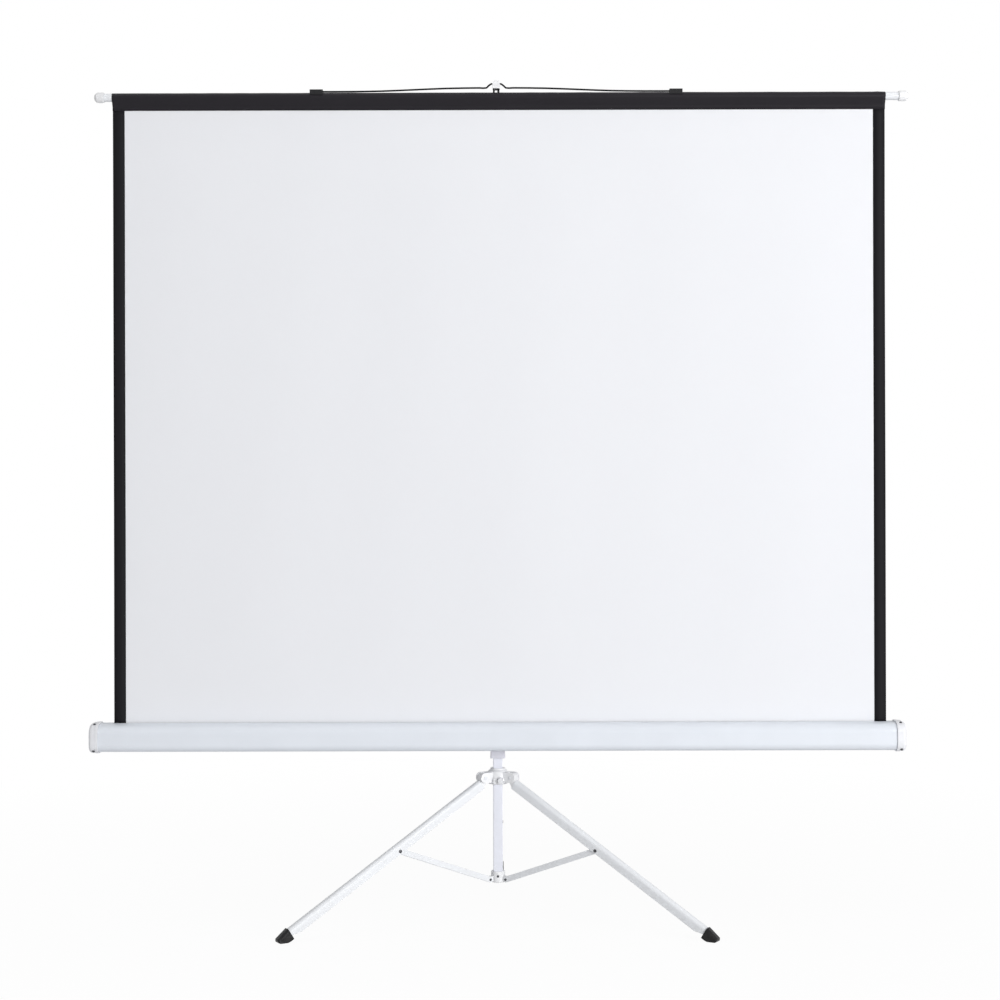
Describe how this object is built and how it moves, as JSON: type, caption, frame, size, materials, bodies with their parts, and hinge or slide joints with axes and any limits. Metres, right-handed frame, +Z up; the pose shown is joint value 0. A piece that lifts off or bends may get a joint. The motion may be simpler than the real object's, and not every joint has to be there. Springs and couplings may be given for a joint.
{
  "type": "tripod projection screen",
  "caption": "Free-standing pull-up projection screen: a wide white cloth with black borders drawn from a spring-roller case and hooked to a telescopic mast with folding legs.",
  "frame": {"origin": "on the floor, in the mast's own plane and midway between the front and rear boots; the middle of the overall box is 9 mm to the right of it, because the top rod stands to one side", "axes": "+Z up along the mast, +X to the viewer's right, the picture faces -Y"},
  "size_m": [1.905, 0.8527, 1.954],
  "materials": {
    "white_paint": "satin white powder coat",
    "white_plastic": "matte white moulding",
    "black_plastic": "matte black moulding",
    "boot_rubber": "dull black rubber",
    "dark_steel": "blackened rivets and screws",
    "bright_steel": "plain zinc-plated steel",
    "white_fabric": "matte white screen cloth",
    "black_fabric": "matte black screen cloth"
  },
  "bodies": {
    "mast": {"mast_tube": "white_paint", "foot_bracket": "white_plastic", "bracket_rivet": "dark_steel", "mast_collar": "black_plastic", "lever_pin": "bright_steel"},
    "collar_lever": {"collar_lever": "black_plastic"},
    "hub": {"leg_hub": "white_plastic", "hub_pin_right": "white_paint", "hub_pin_left": "white_paint", "hub_pin_rear": "white_paint"},
    "hub_knob": {"hub_knob": "bright_steel"},
    "carriage": {"carriage_sleeve": "white_plastic", "case_mount_plate": "white_paint", "case_pivot_bolt": "bright_steel", "case_shell": "white_paint", "case_cap_left": "white_plastic", "case_cap_right": "white_plastic", "cap_screw_top_right": "dark_steel", "cap_screw_low_right": "dark_steel", "cap_screw_top_left": "dark_steel", "cap_screw_low_left": "dark_steel", "spring_arbor": "bright_steel", "roller_idler_pin": "bright_steel", "roller_spring": "bright_steel", "screen_sheet": "white_fabric", "border_left": "black_fabric", "border_right": "black_fabric"},
    "carriage_knob": {"carriage_knob": "black_plastic"},
    "roller": {"roller_tube": "bright_steel", "roller_plug_spring": "black_plastic", "roller_plug_idler": "black_plastic", "fabric_roll": "white_fabric"},
    "extension": {"extension_tube": "white_paint", "hook_neck": "black_plastic", "screen_hook": "white_plastic", "top_rod": "white_paint", "rod_cap_left": "white_plastic", "rod_cap_right": "white_plastic", "bail_wire": "black_plastic", "bail_anchor_left": "black_plastic", "bail_anchor_right": "black_plastic", "top_hem": "black_fabric"},
    "leg_right": {"leg_channel_right": "white_paint", "leg_knuckle_right": "white_plastic", "foot_boot_right": "boot_rubber", "leg_rivet_right": "dark_steel"},
    "brace_right": {"brace_right": "white_paint", "brace_pin_right": "dark_steel"},
    "leg_left": {"leg_channel_left": "white_paint", "leg_knuckle_left": "white_plastic", "foot_boot_left": "boot_rubber", "leg_rivet_left": "dark_steel"},
    "brace_left": {"brace_left": "white_paint", "brace_pin_left": "dark_steel"},
    "leg_rear": {"leg_channel_rear": "white_paint", "leg_knuckle_rear": "white_plastic", "foot_boot_rear": "boot_rubber", "leg_rivet_rear": "dark_steel"},
    "brace_rear": {"brace_rear": "white_paint", "brace_pin_rear": "dark_steel"}
  },
  "joints": [
    {"name": "leg_fold", "type": "slide", "parent": "mast", "child": "hub", "axis": [0, 0, 1], "range_m": [0, 0.2816]},
    {"name": "leg_right_hinge", "type": "hinge", "parent": "hub", "child": "leg_right", "pos_m": [0.03464, -0.15653, 0.327], "axis": [0.5, 0.866, 0], "range_deg": [0, 55]},
    {"name": "brace_right_hinge", "type": "hinge", "parent": "leg_right", "child": "brace_right", "pos_m": [0.22684, -0.2675, 0.17607], "axis": [-0.5, -0.866, 0], "range_deg": [0, 119.9]},
    {"name": "leg_left_hinge", "type": "hinge", "parent": "hub", "child": "leg_left", "pos_m": [-0.03464, -0.15653, 0.327], "axis": [0.5, -0.866, 0], "range_deg": [0, 55]},
    {"name": "brace_left_hinge", "type": "hinge", "parent": "leg_left", "child": "brace_left", "pos_m": [-0.22684, -0.2675, 0.17607], "axis": [-0.5, 0.866, 0], "range_deg": [0, 119.9]},
    {"name": "leg_rear_hinge", "type": "hinge", "parent": "hub", "child": "leg_rear", "pos_m": [0, -0.09653, 0.327], "axis": [-1, 0, 0], "range_deg": [0, 55]},
    {"name": "brace_rear_hinge", "type": "hinge", "parent": "leg_rear", "child": "brace_rear", "pos_m": [0, 0.12541, 0.17607], "axis": [1, 0, 0], "range_deg": [0, 119.9]},
    {"name": "case_height", "type": "slide", "parent": "hub", "child": "carriage", "axis": [0, 0, 1], "range_m": [0, 0.2]},
    {"name": "screen_height", "type": "slide", "parent": "carriage", "child": "extension", "axis": [0, 0, 1], "range_m": [-0.48, 0.22], "deforming": ["screen_sheet", "border_left", "border_right"]},
    {"name": "roller_turn", "type": "hinge", "parent": "carriage", "child": "roller", "pos_m": [0, -0.19353, 0.427], "axis": [1, 0, 0], "range_deg": [-1513, 694]},
    {"name": "hub_knob_turn", "type": "hinge", "parent": "hub", "child": "hub_knob", "pos_m": [0.007, -0.16393, 0.321], "axis": [0, -1, 0], "range_deg": [0, 360]},
    {"name": "carriage_knob_turn", "type": "hinge", "parent": "carriage", "child": "carriage_knob", "pos_m": [0, -0.11413, 0.44], "axis": [0, 1, 0], "range_deg": [0, 360]},
    {"name": "collar_lever_turn", "type": "hinge", "parent": "mast", "child": "collar_lever", "pos_m": [0, -0.11613, 1.406], "axis": [1, 0, 0], "range_deg": [0, 100]}
  ],
  "couplings": [
    {"joint": "leg_right_hinge", "follows": "leg_fold", "rad_per_m": 3.4023},
    {"joint": "brace_right_hinge", "follows": "leg_fold", "rad_per_m": 7.4264},
    {"joint": "leg_left_hinge", "follows": "leg_fold", "rad_per_m": 3.4023},
    {"joint": "brace_left_hinge", "follows": "leg_fold", "rad_per_m": 7.4264},
    {"joint": "leg_rear_hinge", "follows": "leg_fold", "rad_per_m": 3.4023},
    {"joint": "brace_rear_hinge", "follows": "leg_fold", "rad_per_m": 7.4264},
    {"joint": "roller_turn", "follows": "screen_height", "rad_per_m": 54.945}
  ]
}
